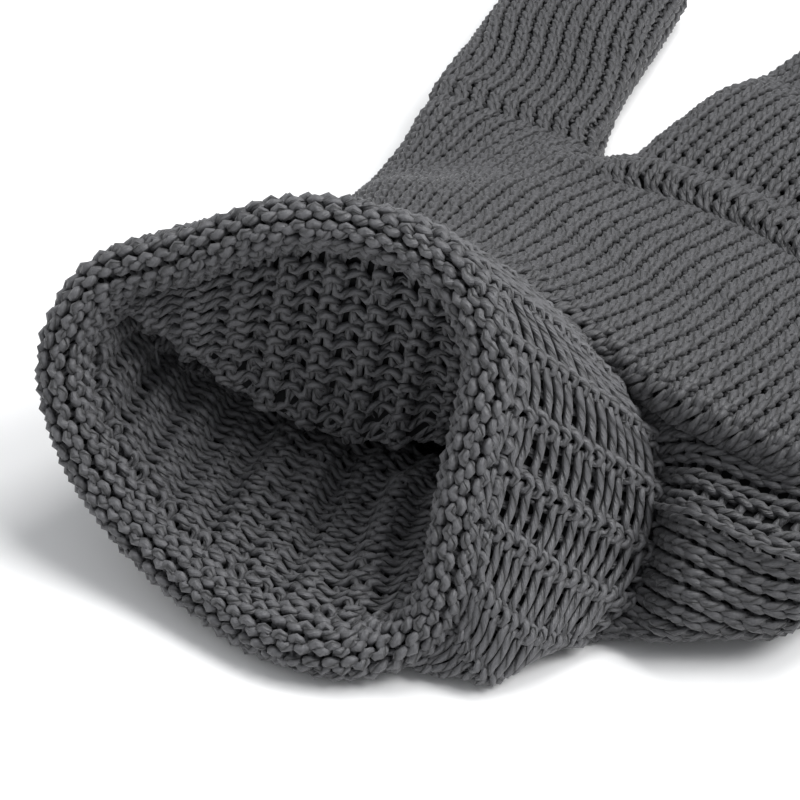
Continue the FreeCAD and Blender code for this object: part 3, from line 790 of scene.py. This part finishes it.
# ------------------------------------------------------------------ overlocked free edge and elastic yarns
def edge_wrap(ring, out, inw, turns, lift):
    """A yarn wound round the free edge, one turn to a stitch."""
    n = turns * 10
    t = np.arange(n) / n
    N = len(ring)
    i = np.floor(t * N).astype(int)
    f = (t * N - i)[:, None]
    c, o, w = (a[i % N] * (1 - f) + a[(i + 1) % N] * f for a in (ring, out, inw))
    a = t * turns * 2 * math.pi
    P = c + o * (lift * np.sin(a))[:, None] + w * (lift * 1.2 * np.cos(a))[:, None]
    return P[None], o[None]


P, N = edge_wrap(edge_out - axis_in * 0.4, edge_n, axis_in, N_CUFF, 0.9)
chain = edge_out + axis_in * 0.5
tt = np.linspace(0, N_CUFF, N_CUFF * 8, endpoint=False)
ii = np.floor(tt).astype(int)
ff = (tt - ii)[:, None]
cc = chain[ii % N_CUFF] * (1 - ff) + chain[(ii + 1) % N_CUFF] * ff
oo = edge_n[ii % N_CUFF]
ch = cc + oo * (0.5 * np.sin(tt * 2 * math.pi))[:, None]
overlock = make("cuff_overlock", [(sweep(P, N, 0.5, True), 0), (sweep(ch[None], oo[None], 0.55, True), 0)], [CUFF])
er = [between(band_start, edge_out, f) - out_n * 2.1 for f in (0.12, 0.3, 0.48, 0.66, 0.84)]
E = np.stack(er)
elastic = make("cuff_elastic", [(sweep(E, np.broadcast_to(out_n, E.shape), 0.4, True, sides=8), 0)], [ELAST])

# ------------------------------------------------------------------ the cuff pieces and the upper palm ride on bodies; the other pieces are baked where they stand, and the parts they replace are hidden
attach(cuff_inner, "cuff"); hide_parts("cuff_inner_tube")
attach(cuff_fold, "cuff"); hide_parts("cuff_fold_roll")
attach(cuff_band, "cuff"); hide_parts("cuff_turnback_band")
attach(overlock, "cuff"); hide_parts("cuff_overlock_edge")
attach(elastic, "cuff"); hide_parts("cuff_elastic_yarns")
w0, w1 = PE + NE * 4.0, PE - NE * 30.0
for o in (lower_top, lower_bot, crease):
    row(w0)
    row(w1)
    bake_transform(o)
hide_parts("lower_palm")
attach(upper, "hand"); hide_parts("upper_palm")
for f, a, b, c, h1, h2, h3, yb1, yb2, xc, end in pieces_made:
    row((xc, 101, 6))
    row((xc, yb1 - 1.5, 6))
    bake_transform(a)
    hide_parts(f + "_root", f + "_proximal")
    row((xc, yb1 + 1.5, 6))
    row((xc, yb2 - 1.5, 6))
    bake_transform(b)
    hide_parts(f + "_medial")
    row((xc, yb2 + 1.5, 6))
    row((xc, min(h3 + 9, end - 4), 6))
    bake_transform(c)
    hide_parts(f + "_tip")
tb = pc * TP
row(tb + TD * 81.0)
row(tb + TD * (dm[tc] - 1.5))
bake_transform(thumb_a)
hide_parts("thumb_base")
row(tb + TD * (dm[tc] + 1.5))
row(tb + TD * (T_H2 + 12))
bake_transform(thumb_b)
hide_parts("thumb_tip")

# ------------------------------------------------------------------ floor and light
def plane(name, w, d, z, col):
    me = bpy.data.meshes.new(name)
    me.from_pydata([(-w, -d, z), (w, -d, z), (w, d, z), (-w, d, z)], [], [(0, 1, 2, 3)])
    o = bpy.data.objects.new(name, me)
    m = bpy.data.materials.new(name)
    m.use_nodes = True
    m.node_tree.nodes["Principled BSDF"].inputs["Base Color"].default_value = (*col, 1)
    m.node_tree.nodes["Principled BSDF"].inputs["Roughness"].default_value = 0.6
    m.node_tree.nodes["Principled BSDF"].inputs["Specular IOR Level"].default_value = 0.2
    me.materials.append(m)
    scene.collection.objects.link(o)
    return o


floor = plane("floor", 3.0, 3.0, -0.0002, (0.9, 0.9, 0.9))
world = bpy.data.worlds.new("studio")
world.use_nodes = True
world.node_tree.nodes["Background"].inputs[0].default_value = (0.95, 0.97, 1.0, 1)
world.node_tree.nodes["Background"].inputs[1].default_value = 0.5
scene.world = world


def area(name, loc, target, size, power, col=(1, 1, 1)):
    li = bpy.data.lights.new(name, "AREA")
    li.size = size
    li.energy = power
    li.color = col
    o = bpy.data.objects.new(name, li)
    scene.collection.objects.link(o)
    o.location = loc
    d = Vector(target) - Vector(loc)
    o.rotation_mode = "QUATERNION"
    o.rotation_quaternion = d.to_track_quat("-Z", "Y")
    return o


area("key", (0.66, 0.16, 0.80), (0.02, -0.06, 0.02), 0.5, 8.5)
area("top", (0.12, 0.30, 1.0), (0, -0.03, 0.02), 0.5, 6.5)
area("fill", (-0.8, -0.5, 0.6), (0, -0.05, 0.02), 0.9, 1.9)
scene.view_settings.view_transform = "Standard"
scene.view_settings.exposure = 0.0
